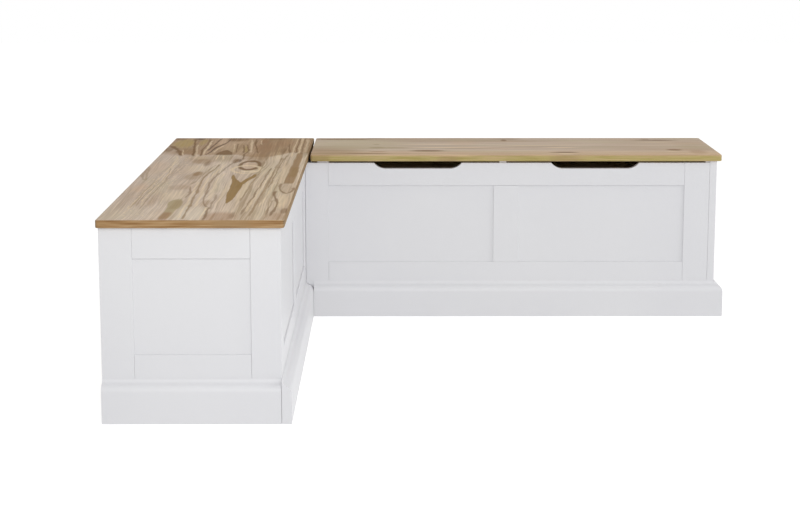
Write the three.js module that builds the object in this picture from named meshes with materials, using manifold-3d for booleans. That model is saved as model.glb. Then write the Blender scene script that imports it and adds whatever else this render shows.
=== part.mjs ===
// Corner storage bench: two lidded chests that meet in the corner of a room.
// Millimetres, +Z up, with the origin on the floor under the middle of the bench.
// The left chest runs along Y beside the left wall, the right chest along X beside the back wall.
// Each chest is drawn in its own frame: x along it, its room side at y = 0, its wall side at +y.
// Each framed side is drawn with x along it, its show face at y = 0 and the inside of the chest at +y.

import * as THREE from 'three';
import { mergeVertices } from 'three/addons/utils/BufferGeometryUtils.js';
import Module from 'manifold-3d';

// Lids and their overhang past the chests; both lengths run from the corner of the room
const leftLength = 1550;
const rightLength = 1545;
const seatHeight = 450;
const seatDepth = 408;
const lidThickness = 18;
const lidSeam = 6;
const lidCornerRadius = 8;
const lidEase = 2.5;
const roomOverhang = 9;
const wallOverhang = 5;
const leftEndOverhang = 10;
const rightEndOverhang = 12;

// Frame members and the panels in their grooves. On the right front the corner stile is narrower than the
// others by the shift, and the end stile wider.
const boardThickness = 19;
const stileWidth = 66;
const muntinWidth = 70;
const rightStileShift = 3;
const cornerLap = 34;
const topRailHeight = 63;
const bottomRailHeight = 90;
const bottomRailReveal = 52;
const panelThickness = 6;
const panelRecess = 4;
const grooveDepth = 10;
const panelPlay = 1;
const tenonShoulder = 8;
const frameEase = 1;

// Hand grips in the top rails
const gripFlatLength = 178;
const gripDepth = 16;
const gripEndRadius = 40;
const gripShiftShare = 0.0415;

// Plinth with an ogee along its top
const plinthHeight = 98;
const plinthThickness = 21.5;
const ogeeHeight = 28;
const coveShare = 0.4;
const plinthJoint = 0.5;

// Boards inside the chests
const cornerSetback = 34;
const partitionShift = 10;
const floorThickness = 12;
const floorInset = 18;
const floorTongue = 5.5;
const backThickness = 6;
const backRise = 18;
const backRebate = 13;
const hingeRailThickness = 25;
const hingeRailHeight = 60;
const bearerWidth = 12;
const bearerHeight = 30;
const bearingSetback = 3;

// Butt hinges
const hingeLength = 64;
const hingeLeafWidth = 26;
const hingeLeafThickness = 1;
const hingeLeafRadius = 3;
const knuckleRadius = 2.25;
const knuckleCount = 5;
const pinRadius = 1.1;
const pinPlay = 0.2;
const leftHingeShares = [0.14, 0.47, 0.86];
const rightHingeShares = [0.2, 0.8];

// Bolts that join the two chests
const boltRadius = 3;
const boltBite = 40;
const boltHeadRadius = 6.5;
const boltHeadHeight = 4;
const boltHeightShares = [0.2, 0.8];

// Clearances
const fit = 0.3;
const cornerSeam = 0.5;
const overrun = 5;

// Faces round the arcs
const easeSteps = 3;
const gripSteps = 8;
const ogeeSteps = 7;
const cornerSteps = 5;
const turnedSteps = 16;

// Heights that the parts share
const lidUnderside = seatHeight - lidThickness;
const bearingTop = lidUnderside - fit;
const frameTop = lidUnderside - 2 * (knuckleRadius + fit);
const openingTop = frameTop - topRailHeight;
const openingBottom = plinthHeight + bottomRailReveal;
const bottomRailLow = openingBottom - bottomRailHeight;
const floorLow = bottomRailLow + floorInset;
const floorTop = floorLow + floorThickness;

// Depths that the parts share
const bodyDepth = seatDepth - roomOverhang - wallOverhang;
const backPlane = bodyDepth - backThickness;
const hingeRailFront = backPlane - hingeRailThickness;
const grooveFront = panelRecess - fit;
const grooveBack = panelRecess + panelThickness + fit;
const grooveHold = grooveDepth - panelPlay;
const backStileWidth = stileWidth + backThickness;

// The left chest's room side, and the right chest's, as the bench stands
const leftFront = wallOverhang + bodyDepth;
const rightFront = leftLength - wallOverhang - bodyDepth;

const paint = { color: 0xdddde0, roughness: 0.45, metalness: 0 };
const pine = { color: 0xb8a18a, roughness: 0.55, metalness: 0 };
const plywood = { color: 0xc9b491, roughness: 0.7, metalness: 0 };
const zinc = { color: 0xb4b6b8, roughness: 0.35, metalness: 0.9 };

const wasm = await Module();
wasm.setup();

function named(name, finish, geometry, x, y, z) {
  const mesh = new THREE.Mesh(geometry, new THREE.MeshStandardMaterial(finish));
  mesh.name = name;
  mesh.position.set(x, y, z);
  return mesh;
}

function toSolid(geometry) {
  const bare = geometry.clone();
  bare.deleteAttribute('normal');
  bare.deleteAttribute('uv');
  const merged = mergeVertices(bare);
  const vertProperties = new Float32Array(merged.attributes.position.array);
  const triVerts = new Uint32Array(merged.index.array);
  return new wasm.Manifold(new wasm.Mesh({ numProp: 3, vertProperties, triVerts }));
}

function toGeometry(solid) {
  const mesh = solid.getMesh();
  const geometry = new THREE.BufferGeometry();
  geometry.setAttribute('position', new THREE.BufferAttribute(mesh.vertProperties, 3));
  geometry.setIndex(new THREE.BufferAttribute(mesh.triVerts, 1));
  geometry.computeVertexNormals();
  return geometry;
}

// Joins and cuts a body; every piece is a geometry.
function machined(body, joined, cut) {
  let solid = toSolid(body);
  for (const piece of joined) solid = solid.add(toSolid(piece));
  for (const piece of cut) solid = solid.subtract(toSolid(piece));
  return toGeometry(solid);
}

function block(low, high) {
  const [x, y, z] = high.map((value, i) => value - low[i]);
  const geometry = new THREE.BoxGeometry(x, y, z);
  return geometry.translate(low[0] + x / 2, low[1] + y / 2, low[2] + z / 2);
}

// Rod along X from 0 to its length
function rodAlongX(radius, length) {
  const geometry = new THREE.CylinderGeometry(radius, radius, length, turnedSteps);
  return geometry.rotateZ(-Math.PI / 2).translate(length / 2, 0, 0);
}

// Rod along Y from 0 to its length
function rodAlongY(radius, length) {
  const geometry = new THREE.CylinderGeometry(radius, radius, length, turnedSteps);
  return geometry.translate(0, length / 2, 0);
}

// Outline in x and y, raised along Z
function raised(points, height) {
  return new THREE.ExtrudeGeometry(new THREE.Shape(points), { depth: height, bevelEnabled: false });
}

// Outline in y and z, run along X
function runAlongX(points, length) {
  const turn = new THREE.Matrix4().makeBasis(
    new THREE.Vector3(0, 1, 0), new THREE.Vector3(0, 0, 1), new THREE.Vector3(1, 0, 0));
  return raised(points, length).applyMatrix4(turn);
}

// Outline in x and z, cut through along Y from 0 to the thickness
function cutThrough(points, thickness) {
  const turn = new THREE.Matrix4().makeBasis(
    new THREE.Vector3(1, 0, 0), new THREE.Vector3(0, 0, 1), new THREE.Vector3(0, -1, 0));
  return raised(points, thickness).applyMatrix4(turn).translate(0, thickness, 0);
}

function at(a, b) {
  return new THREE.Vector2(a, b);
}

function arc(centreA, centreB, radius, start, end, steps) {
  return Array.from({ length: steps + 1 }, (_, i) => {
    const angle = start + (end - start) * i / steps;
    return at(centreA + radius * Math.cos(angle), centreB + radius * Math.sin(angle));
  });
}

function rectangle(low, high) {
  return [at(low[0], low[1]), at(high[0], low[1]), at(high[0], high[1]), at(low[0], high[1])];
}

// Section of a frame member: its width along a, its thickness along b, its show face at b = 0.
// Low and high are the edges at a = 0 and a = width.
function memberSection(width, { grooveLow, grooveHigh, rebateLow, rebateHigh }) {
  const depth = boardThickness;
  const groove = (edge, side) => [
    at(edge, grooveFront), at(edge + side * grooveDepth, grooveFront),
    at(edge + side * grooveDepth, grooveBack), at(edge, grooveBack)];
  const rebate = (edge, side) => [
    at(edge, depth - backRebate), at(edge + side * (backThickness + fit), depth - backRebate),
    at(edge + side * (backThickness + fit), depth)];
  return [
    ...arc(frameEase, frameEase, frameEase, Math.PI, 1.5 * Math.PI, easeSteps),
    ...arc(width - frameEase, frameEase, frameEase, 1.5 * Math.PI, 2 * Math.PI, easeSteps),
    ...(grooveHigh ? groove(width, -1) : []),
    ...(rebateHigh ? rebate(width, -1) : [at(width, depth)]),
    ...(rebateLow ? rebate(0, 1).reverse() : [at(0, depth)]),
    ...(grooveLow ? groove(0, 1).reverse() : []),
  ];
}

// Cut for a hand grip through a rail, from its flat up past the rail's top edge
function gripCut(centre, railHeight) {
  const reach = Math.sqrt(gripEndRadius ** 2 - (gripEndRadius - gripDepth) ** 2);
  const sweep = Math.asin(reach / gripEndRadius);
  const middle = railHeight - gripDepth + gripEndRadius;
  const half = gripFlatLength / 2;
  const down = 1.5 * Math.PI;
  const outline = [
    at(centre - half - reach, railHeight + overrun),
    ...arc(centre - half, middle, gripEndRadius, down - sweep, down, gripSteps),
    ...arc(centre + half, middle, gripEndRadius, down, down + sweep, gripSteps),
    at(centre + half + reach, railHeight + overrun),
  ];
  return cutThrough(outline, boardThickness + 2 * overrun).translate(0, -overrun, 0);
}

// Cut for the floor's tongue along the back of a bottom rail
function floorGrooveCut(length) {
  return block(
    [-overrun, boardThickness - floorTongue, floorInset - fit],
    [length + overrun, boardThickness + overrun, floorInset + floorThickness + fit]);
}

// A rail lies between two stiles, with a tenon at each end in their grooves.
function rail(name, [from, to], [low, high], edges, makeCuts) {
  const length = to - from - 2 * fit;
  const height = high - low;
  const reach = grooveHold + fit;
  const section = memberSection(height, edges).map((point) => at(point.y, point.x));
  const tenonLow = edges.grooveLow ? grooveDepth : tenonShoulder;
  const tenonHigh = height - (edges.grooveHigh ? grooveDepth : tenonShoulder);
  const tenons = block(
    [-reach, panelRecess, tenonLow], [length + reach, panelRecess + panelThickness, tenonHigh]);
  const body = machined(runAlongX(section, length), [tenons], makeCuts(length, height));
  return named(name, paint, body, from + fit, 0, low);
}

// A muntin stands between the two rails, with a tenon at each end in their grooves.
function muntin(name, from, width, bores = []) {
  const height = openingTop - openingBottom - 2 * fit;
  const reach = grooveHold + fit;
  const section = memberSection(width, { grooveLow: true, grooveHigh: true });
  const tenons = block(
    [grooveDepth, panelRecess, -reach], [width - grooveDepth, panelRecess + panelThickness, height + reach]);
  const cuts = bores.map(({ x, z }) => {
    const bore = rodAlongY(boltRadius + fit, boardThickness + 2 * overrun);
    return bore.translate(x - from, -overrun, z - openingBottom - fit);
  });
  return named(name, paint, machined(raised(section, height), [tenons], cuts), from, 0, openingBottom + fit);
}

// A panel floats in the grooves round its opening.
function panel(name, from, to) {
  const outline = rectangle(
    [from - grooveHold, openingBottom - grooveHold], [to + grooveHold, openingTop + grooveHold]);
  return named(name, paint, cutThrough(outline, panelThickness), 0, panelRecess, 0);
}

// One framed side: two stiles, two rails, the muntins between them and a panel in each opening.
function framedSide({ prefix, from, to, top, low, high, muntins = [], grips = [] }) {
  const lowEdge = from + low.width;
  const highEdge = to - high.width;
  const span = [lowEdge, highEdge];
  const lowSection = memberSection(low.width, { grooveHigh: true, rebateLow: low.rebate });
  const highSection = memberSection(high.width, { grooveLow: true, rebateHigh: high.rebate });
  const edges = [lowEdge, ...muntins.flatMap((m) => [m.from, m.from + m.width]), highEdge];
  const pieces = [
    named(`${prefix}_${low.name}`, paint, machined(raised(lowSection, top), [], low.cuts ?? []), from, 0, 0),
    named(`${prefix}_${high.name}`, paint, raised(highSection, top), highEdge, 0, 0),
    rail(`${prefix}_top_rail`, span, [openingTop, top], { grooveLow: true },
      (length, height) => grips.map((centre) => gripCut(centre - lowEdge - fit, height))),
    rail(`${prefix}_bottom_rail`, span, [bottomRailLow, openingBottom], { grooveHigh: true },
      (length) => [floorGrooveCut(length)]),
    ...muntins.map((m) => muntin(`${prefix}_${m.name}`, m.from, m.width, m.bores)),
  ];
  for (let i = 0; i < edges.length; i += 2) {
    const name = edges.length > 2 ? `${prefix}_panel_${i / 2 + 1}` : `${prefix}_panel`;
    pieces.push(panel(name, edges[i], edges[i + 1]));
  }
  return pieces;
}

// The plinth's top outline as height against outward reach: two arcs, tangent where they meet,
// a small cove from the frame's face and then a larger round over the edge
function ogee() {
  const sweep = 2 * Math.atan(plinthThickness / ogeeHeight);
  const radii = ogeeHeight / Math.sin(sweep);
  const coveRadius = coveShare * radii;
  const roundRadius = radii - coveRadius;
  const shoulder = plinthHeight - ogeeHeight;
  const cove = arc(coveRadius, plinthHeight, coveRadius, Math.PI, Math.PI + sweep, ogeeSteps);
  const round = arc(plinthThickness - roundRadius, shoulder, roundRadius, sweep, 0, ogeeSteps);
  return [...cove, ...round.slice(1)];
}

// Length of plinth on the show face; a mitre of 1 makes its outer face longer by its thickness.
function plinthRun(name, from, to, mitreFrom, mitreTo) {
  const top = ogee().map((point) => at(-point.x, point.y));
  const geometry = runAlongX([at(0, 0), ...top, at(-plinthThickness, 0)], to - from);
  const position = geometry.attributes.position;
  for (let i = 0; i < position.count; i += 1) {
    const atStart = position.getX(i) < (to - from) / 2;
    const shift = position.getY(i) * (atStart ? mitreFrom : -mitreTo);
    position.setX(i, position.getX(i) + shift);
  }
  geometry.computeVertexNormals();
  return named(name, paint, geometry, from, -fit, 0);
}

// Board across the chest, from the front frame to the back, notched round the hinge rail if it passes it.
// Its top reaches forward over the front frame, to carry the lid there.
function crossBoard(name, x, bottom, passesHingeRail, floorSide) {
  const front = boardThickness + fit;
  const back = backPlane - fit;
  const notchFront = hingeRailFront - fit;
  const notchLow = frameTop - hingeRailHeight - fit;
  const corner = passesHingeRail
    ? [at(back, notchLow), at(notchFront, notchLow), at(notchFront, bearingTop)]
    : [at(back, bearingTop)];
  const nose = [
    at(bearingSetback, bearingTop), at(bearingSetback, frameTop + fit), at(front, frameTop + fit)];
  const outline = [at(front, bottom), at(back, bottom), ...corner, ...nose];
  const body = runAlongX(outline, boardThickness);
  if (!floorSide) return named(name, paint, body, x, 0, 0);
  const edge = floorSide > 0 ? boardThickness : 0;
  const ends = [edge - floorSide * floorTongue, edge + floorSide * overrun].sort((a, b) => a - b);
  const housing = block(
    [ends[0], front - overrun, floorLow - fit], [ends[1], back + overrun, floorTop + fit]);
  return named(name, paint, machined(body, [], [housing]), x, 0, 0);
}

// The floor's tongues sit in the grooves of the framed end and the front, and in the end board's housing.
// The framed end's inner face is at x = framed, the end board's at x = boarded, the front rail between them.
function floorBoard(name, framed, boarded, railNear, railFar) {
  const way = Math.sign(boarded - framed);
  const start = framed + way * fit;
  const tip = framed - way * (floorTongue - fit);
  const front = boardThickness + fit;
  const frontTip = boardThickness - floorTongue + fit;
  const back = backPlane - fit;
  const endRail = [stileWidth + fit, bodyDepth - backStileWidth - fit];
  const frontRail = [railNear + way * fit, railFar - way * fit];
  const finish = boarded + way * (floorTongue - fit);
  const outline = [
    at(start, front), at(frontRail[0], front), at(frontRail[0], frontTip), at(frontRail[1], frontTip),
    at(frontRail[1], front), at(finish, front), at(finish, back), at(start, back),
    at(start, endRail[1]), at(tip, endRail[1]), at(tip, endRail[0]), at(start, endRail[0])];
  return named(name, plywood, raised(outline, floorThickness), 0, 0, floorLow);
}

function backPanel(name, low, high) {
  const outline = rectangle([low, backRise], [high, frameTop]);
  return named(name, plywood, cutThrough(outline, backThickness), 0, backPlane, 0);
}

// Rail along the wall side that carries the hinges, with its upper front edge eased
function hingeRail(name, low, high) {
  const outline = [
    at(hingeRailFront, frameTop - hingeRailHeight),
    at(backPlane - fit, frameTop - hingeRailHeight),
    at(backPlane - fit, frameTop),
    ...arc(hingeRailFront + frameEase, frameTop - frameEase, frameEase, Math.PI / 2, Math.PI, easeSteps),
  ];
  return named(name, pine, runAlongX(outline, high - low), low, 0, 0);
}

// Cleat under the lid along an end of the chest, with its lower inner edge eased and a nose over the front rail
function bearer(name, x, inwards) {
  const low = bearingTop - bearerHeight;
  const wall = inwards > 0 ? 0 : bearerWidth;
  const inner = bearerWidth - wall;
  const outline = [
    at(wall, low), at(inner - inwards * frameEase, low), at(inner, low + frameEase),
    at(inner, bearingTop), at(wall, bearingTop)];
  const front = boardThickness + fit;
  const body = cutThrough(outline, hingeRailFront - fit - front).translate(0, front, 0);
  const nose = block([0, bearingSetback, frameTop + fit], [bearerWidth, front + overrun, bearingTop]);
  return named(name, paint, machined(body, [nose], []), x, 0, 0);
}

// Solid timber seat with rounded corners and eased edges
function lid(name, from, to) {
  const radius = lidCornerRadius - lidEase;
  const low = [from + lidEase, lidEase - roomOverhang];
  const high = [to - lidEase, bodyDepth + wallOverhang - lidEase];
  const corner = (x, y, start) => arc(x, y, radius, start, start + Math.PI / 2, cornerSteps);
  const outline = [
    ...corner(low[0] + radius, low[1] + radius, Math.PI),
    ...corner(high[0] - radius, low[1] + radius, 1.5 * Math.PI),
    ...corner(high[0] - radius, high[1] - radius, 0),
    ...corner(low[0] + radius, high[1] - radius, Math.PI / 2),
  ];
  const geometry = new THREE.ExtrudeGeometry(new THREE.Shape(outline), {
    depth: lidThickness - 2 * lidEase, bevelThickness: lidEase, bevelSize: lidEase, bevelSegments: easeSteps,
  });
  return named(name, pine, geometry, 0, 0, lidUnderside + lidEase);
}

// One leaf of a butt hinge. The pin's axis lies along X at y = 0, z = 0; the leaf lies at -y.
// Side is 1 for the leaf under the lid and -1 for the leaf on the hinge rail, which holds the pin.
function hingeLeaf(side) {
  const pitch = hingeLength / knuckleCount;
  const own = (i) => i % 2 === (side > 0 ? 1 : 0);
  const face = side * knuckleRadius;
  const inner = side * (knuckleRadius - hingeLeafThickness);
  const radius = hingeLeafRadius;
  const outline = [
    ...arc(radius, radius - hingeLeafWidth, radius, Math.PI, 1.5 * Math.PI, easeSteps),
    ...arc(hingeLength - radius, radius - hingeLeafWidth, radius, 1.5 * Math.PI, 2 * Math.PI, easeSteps),
    at(hingeLength, 0), at(0, 0)];
  const plate = raised(outline, hingeLeafThickness).translate(0, 0, Math.min(face, inner));
  const knuckles = [];
  const cuts = [];
  for (let i = 0; i < knuckleCount; i += 1) {
    if (own(i)) {
      knuckles.push(rodAlongX(knuckleRadius, pitch - fit).translate(i * pitch + fit / 2, 0, 0));
    } else {
      cuts.push(block(
        [i * pitch - fit / 2, -knuckleRadius - fit, -knuckleRadius - fit],
        [(i + 1) * pitch + fit / 2, overrun, knuckleRadius + fit]));
    }
  }
  const body = machined(plate, [], cuts);
  if (side < 0) return machined(body, [...knuckles, rodAlongX(pinRadius, hingeLength - fit)
    .translate(fit / 2, 0, 0)], []);
  const bore = rodAlongX(pinRadius + pinPlay, hingeLength + 2 * overrun).translate(-overrun, 0, 0);
  return machined(body, knuckles, [bore]);
}

function hinge(prefix, x) {
  const y = bodyDepth + fit + knuckleRadius;
  const z = lidUnderside - fit - knuckleRadius;
  return [
    named(`${prefix}_lid_leaf`, zinc, hingeLeaf(1), x - hingeLength / 2, y, z),
    named(`${prefix}_rail_leaf`, zinc, hingeLeaf(-1), x - hingeLength / 2, y, z),
  ];
}

// Bolt along Y: its tip at y = 0, its head inside the left chest
function joiningBolt(name, x, z) {
  const shank = boltBite + cornerSeam + boardThickness + fit;
  const tip = boltRadius / 3;
  const rim = boltHeadHeight / 2;
  const profile = [
    at(0, 0), at(boltRadius - tip, 0), at(boltRadius, tip), at(boltRadius, shank),
    at(boltHeadRadius, shank), at(boltHeadRadius, shank + rim),
    at(boltHeadRadius - rim, shank + boltHeadHeight), at(0, shank + boltHeadHeight)];
  const geometry = new THREE.LatheGeometry(profile, turnedSteps);
  return named(name, zinc, geometry, x, -cornerSeam - boltBite, z);
}

// Framed end that shows, with its length of plinth. Side is -1 at the chest's start and 1 at its finish.
function framedEnd(prefix, outer, side) {
  const group = new THREE.Group();
  const room = { name: 'room_stile', width: stileWidth };
  const wall = { name: 'wall_stile', width: backStileWidth, rebate: true };
  group.add(...framedSide({
    prefix: `${prefix}_end`, from: 0, to: bodyDepth, top: bearingTop,
    low: side > 0 ? room : wall, high: side > 0 ? wall : room,
  }));
  const name = `${prefix}_end_plinth`;
  group.add(side > 0
    ? plinthRun(name, -fit, bodyDepth, 1, 0)
    : plinthRun(name, 0, bodyDepth - plinthJoint, 0, 0));
  group.rotation.z = side * Math.PI / 2;
  group.position.set(outer, side > 0 ? 0 : bodyDepth, 0);
  return group;
}

// Middle of a grip in a bay, moved from the bay's middle towards the muntin between the two bays
function gripCentres(bays) {
  return bays.map(([low, high], i) => {
    const shift = (high - low) * gripShiftShare;
    return (low + high) / 2 + (i === 0 ? shift : -shift);
  });
}

// Two bays of equal width between two stiles, with a muntin in the middle
function twoBays(from, to) {
  const bay = (to - from - muntinWidth) / 2;
  return [[from, from + bay], [to - bay, to]];
}

function hinges(prefix, low, high, shares) {
  return shares.flatMap((share, i) => hinge(`${prefix}_hinge_${i + 1}`, low + (high - low) * share));
}

function boltHeights() {
  return boltHeightShares.map((share) => openingBottom + share * (openingTop - openingBottom));
}

// Cuts in the right chest's corner stile: the bolts' blind bores, and the left plinth's outline at its foot
function cornerStileCuts() {
  const bores = boltHeights().map((z) => {
    const bore = rodAlongX(boltRadius + fit, overrun + boltBite + fit);
    return bore.translate(-overrun, boardThickness / 2, z);
  });
  const outline = [
    at(-overrun, -overrun), at(-overrun, plinthHeight + cornerSeam),
    ...ogee().map((point) => at(point.x + fit, point.y + cornerSeam)),
    at(plinthThickness + fit, -overrun)];
  const notch = cutThrough(outline, boardThickness + 2 * overrun).translate(0, -overrun, 0);
  return [...bores, notch];
}

function leftChest() {
  const chest = new THREE.Group();
  const start = leftEndOverhang;
  const inside = start + boardThickness + fit;
  const finish = leftLength - wallOverhang;
  const cornerStile = rightFront - stileWidth;
  const bays = twoBays(inside + stileWidth, cornerStile);
  const middle = bays[0][1];
  const boltX = rightFront + boardThickness / 2;
  const endBoard = finish - boardThickness;

  chest.add(framedEnd('left', start, -1));
  chest.add(...framedSide({
    prefix: 'left_front', from: inside, to: finish, top: frameTop,
    low: { name: 'end_stile', width: stileWidth }, high: { name: 'wall_stile', width: stileWidth },
    muntins: [
      { name: 'muntin', from: middle, width: muntinWidth },
      {
        name: 'corner_muntin', from: cornerStile, width: stileWidth + cornerLap,
        bores: boltHeights().map((z) => ({ x: boltX, z })),
      },
    ],
    grips: gripCentres(bays),
  }));
  chest.add(
    plinthRun('left_front_plinth', start - fit - plinthThickness, finish - backThickness - fit, 0, 0),
    crossBoard('left_end_board', endBoard, 0, false, -1),
    crossBoard('left_partition_1', middle + muntinWidth / 2 + partitionShift - boardThickness / 2,
      floorTop + fit, true),
    crossBoard('left_partition_2', cornerStile + partitionShift, floorTop + fit, true),
    floorBoard('left_floor', inside - fit, endBoard, inside + stileWidth, finish - stileWidth),
    backPanel('left_back', start + boardThickness - backRebate + fit, finish),
    hingeRail('left_hinge_rail', inside, endBoard - fit),
    bearer('left_end_bearer', inside, 1),
    bearer('left_wall_bearer', endBoard - fit - bearerWidth, -1),
    lid('left_lid', 0, leftLength),
    ...hinges('left', inside, endBoard, leftHingeShares),
    ...boltHeights().map((z, i) => joiningBolt(`joining_bolt_${i + 1}`, boltX, z)),
  );
  chest.rotation.z = Math.PI / 2;
  chest.position.set(leftFront, 0, 0);
  return chest;
}

function rightChest() {
  const chest = new THREE.Group();
  const start = leftFront + cornerSeam;
  const finish = rightLength - rightEndOverhang;
  const inside = finish - boardThickness - fit;
  const cornerStileWidth = stileWidth - rightStileShift;
  const endStileWidth = stileWidth + rightStileShift;
  const bays = twoBays(start + cornerStileWidth, inside - endStileWidth);
  const middle = bays[0][1];
  const endBoard = leftFront + cornerSetback;
  const boardInside = endBoard + boardThickness;

  chest.add(framedEnd('right', finish, 1));
  chest.add(...framedSide({
    prefix: 'right_front', from: start, to: inside, top: frameTop,
    low: { name: 'corner_stile', width: cornerStileWidth, cuts: cornerStileCuts() },
    high: { name: 'end_stile', width: endStileWidth },
    muntins: [{ name: 'muntin', from: middle, width: muntinWidth }],
    grips: gripCentres(bays),
  }));
  chest.add(
    plinthRun('right_front_plinth', leftFront + fit + plinthThickness + cornerSeam, finish - fit / 2, 0, 1),
    crossBoard('right_corner_board', endBoard, 0, false, 1),
    crossBoard('right_partition', middle + muntinWidth / 2 - partitionShift - boardThickness / 2,
      floorTop + fit, true),
    floorBoard('right_floor', inside + fit, boardInside, inside - endStileWidth, start + cornerStileWidth),
    backPanel('right_back', start, finish - boardThickness + backRebate - fit),
    hingeRail('right_hinge_rail', boardInside + fit, inside),
    bearer('right_corner_bearer', boardInside + fit, 1),
    bearer('right_end_bearer', inside - bearerWidth, -1),
    lid('right_lid', seatDepth + lidSeam, rightLength),
    ...hinges('right', boardInside, inside, rightHingeShares),
  );
  chest.position.set(0, rightFront, 0);
  return chest;
}

// The plinths reach past the lids at both ends that show.
const bench = new THREE.Group();
bench.add(leftChest(), rightChest());
const reach = plinthThickness + fit;
const width = rightLength - rightEndOverhang + reach;
const depth = leftLength - leftEndOverhang + reach;
bench.position.set(-width / 2, depth / 2 - leftLength, 0);

export default bench;
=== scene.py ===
import math

import bmesh
import bpy
from mathutils import Matrix, Vector


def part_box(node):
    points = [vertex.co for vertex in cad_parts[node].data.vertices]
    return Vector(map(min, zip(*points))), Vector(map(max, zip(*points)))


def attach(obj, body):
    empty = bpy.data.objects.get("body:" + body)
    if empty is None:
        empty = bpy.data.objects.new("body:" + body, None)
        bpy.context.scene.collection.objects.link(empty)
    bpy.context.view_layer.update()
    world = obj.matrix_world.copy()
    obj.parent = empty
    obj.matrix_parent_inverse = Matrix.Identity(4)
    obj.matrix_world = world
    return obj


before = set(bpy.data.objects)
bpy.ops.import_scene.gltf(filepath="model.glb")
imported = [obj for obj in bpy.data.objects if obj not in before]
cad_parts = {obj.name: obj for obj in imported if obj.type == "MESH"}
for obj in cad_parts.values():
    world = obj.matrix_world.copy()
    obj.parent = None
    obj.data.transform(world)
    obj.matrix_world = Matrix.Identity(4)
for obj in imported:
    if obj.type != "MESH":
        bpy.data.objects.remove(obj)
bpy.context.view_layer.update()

# Camera of the photograph
CAMERA_PLACE = (-0.131, -4.7964, 1.0882)
CAMERA_PITCH = 10.257
CAMERA_YAW = 0.154
CAMERA_LENS = 85.28
SENSOR_WIDTH = 36.0
CAMERA_REACH = 50.0
RIGHT_ANGLE = 90

# Light: lamps as (name, place, target, size, watts), and what the floor adds to what the camera sees of it
WORLD_STRENGTH = 0.58
SEEN_STRENGTH = 1.0
LAMPS = (
    ("front", (0.1, -3.1, 1.6), (-0.3, -0.4, 0.3), (1.8, 1.4), 28.0),
    ("right", (3.8, -0.7, 1.8), (-0.2, 0.1, 0.25), (2.0, 1.6), 40.0),
)
FLOOR_SIZE = 24.0
FLOOR_TONE = (240, 240, 240)
FLOOR_GLOW = 0.84
FLOOR_SEEN = (0.36, 0.36, 0.36, 1.0)
WHITE = (1.0, 1.0, 1.0, 1.0)

# CAD nodes by what they are made of; the lids have their own wood, and the rest is painted
PLYWOOD = ("left_floor", "right_floor", "left_back", "right_back")
BARE_PINE = ("left_hinge_rail", "right_hinge_rail")
METAL_WORDS = ("hinge_1", "hinge_2", "hinge_3", "bolt")

# Tones are written as they look on screen, and this is the curve that makes linear colours of them
SRGB_FULL = 255
SRGB_KNEE = 0.04045
SRGB_SLOPE = 12.92
SRGB_OFFSET = 0.055
SRGB_POWER = 2.4

# The middle of a noise, and of a curve or a ramp
HALF = 0.5

# In what follows, a noise, a bump, a ramp or a range holds what Graph's noise, bump, ramp or scaled takes

# Satin paint over brushed grain, with the texture of the roller
PAINT_TONES = ((226, 226, 229), (229, 229, 231))
PAINT_CLOUD = (2.2, 2.0, 0.5)
PAINT_CLOUD_RANGE = (0.35, 0.65)
PAINT_STRETCH = 22.0
PAINT_GRAIN = (260.0, 3.0, 0.6)
PAINT_GRAIN_BUMP = (0.00012, 0.5)
PAINT_ROLLER = (900.0, 2.0, 0.5)
PAINT_ROLLER_BUMP = (0.00004, 0.5)
PAINT_ROUGHNESS = 0.42

# Plywood and bare pine as (stretch along the grain, noise, ramp, roughness)
PLYWOOD_RAMP = ((0.3, (186, 160, 122)), (0.55, (206, 182, 146)), (0.75, (216, 194, 160)))
PLYWOOD_LOOK = (14.0, (60.0, 5.0, 0.6, 0.6), PLYWOOD_RAMP, 0.65)
BARE_PINE_RAMP = ((0.3, (190, 150, 102)), (0.5, (214, 180, 134)), (0.75, (226, 196, 152)))
BARE_PINE_LOOK = (18.0, (90.0, 4.0, 0.6, 0.4), BARE_PINE_RAMP, 0.55)
PLAIN_BUMP = (0.0002, 0.4)

# Zinc plate of the hinges, bolts and screws
ZINC_BLOTCH = (120.0, 3.0, 0.6)
ZINC_RAMP = ((0.3, (178, 180, 182)), (0.7, (205, 206, 208)))
ZINC_ROUGHNESS_RANGE = (0.3, 0.7, 0.28, 0.42)

# Tones of the lids' wood
WALL_SIDE = ((196, 175, 155), (207, 187, 169), (219, 200, 183))
MIDDLE = ((204, 183, 163), (221, 201, 181), (232, 213, 193))
ROOM_SIDE = ((195, 172, 144), (214, 193, 167), (229, 209, 184))
LATE = (158, 130, 95)
FINE = (173, 148, 118)
DARK = (147, 114, 55)
BROWN = (156, 122, 80)
UMBER = (122, 88, 44)
BLACK = (95, 65, 34)
OLIVE = (175, 156, 118)
GOLD = (175, 149, 88)
RUST = (154, 109, 69)
ROSE = (210, 179, 149)
CREAM = (236, 213, 177)
PALE = (225, 210, 187)
GREEN = (196, 185, 145)

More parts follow.
